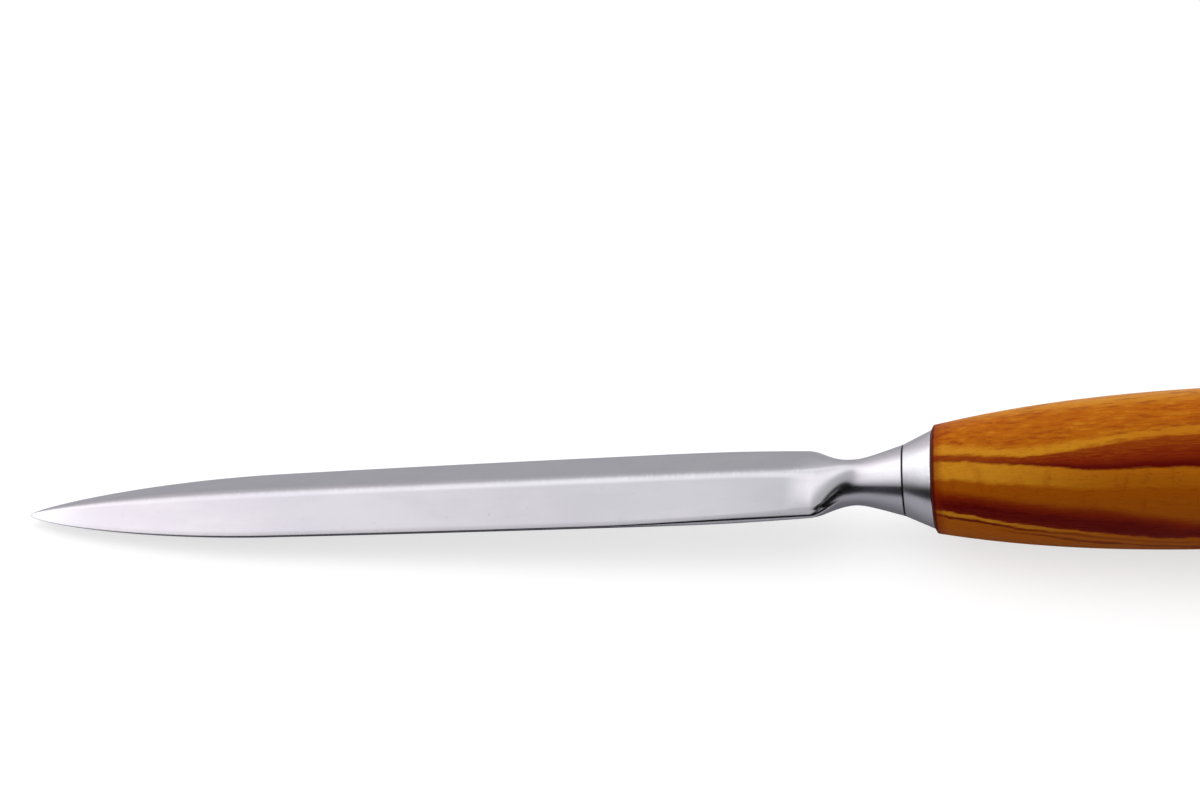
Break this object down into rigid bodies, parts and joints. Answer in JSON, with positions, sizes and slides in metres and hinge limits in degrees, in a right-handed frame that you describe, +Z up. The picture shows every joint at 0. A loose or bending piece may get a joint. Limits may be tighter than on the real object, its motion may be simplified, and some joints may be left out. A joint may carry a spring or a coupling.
{
  "type": "letter opener",
  "caption": "Letter opener: long double-edged steel blade with a median ridge, round bolster, conical ferrule and turned wooden handle, lying flat.",
  "frame": {"origin": "on the surface that the opener lies on, below the middle of its length, midway between its sides", "axes": "+X along the opener's length towards the butt, +Y across the flat of the blade, +Z up; the axis of the piece rises by 3.36 degrees towards +X, because the blade's ridge near the point and the handle both touch the surface"},
  "size_m": [0.2513, 0.024, 0.026],
  "materials": {
    "blade_steel": "satin polished stainless steel",
    "stud_steel": "zinc-plated thread",
    "ferrule_steel": "turned and fine-brushed",
    "insert_brass": "as turned",
    "handle_wood": "oiled, satin gloss"
  },
  "bodies": {
    "root": {"blade": "blade_steel", "threaded_stud": "stud_steel", "ferrule": "ferrule_steel", "threaded_insert": "insert_brass", "handle": "handle_wood"}
  },
  "joints": []
}
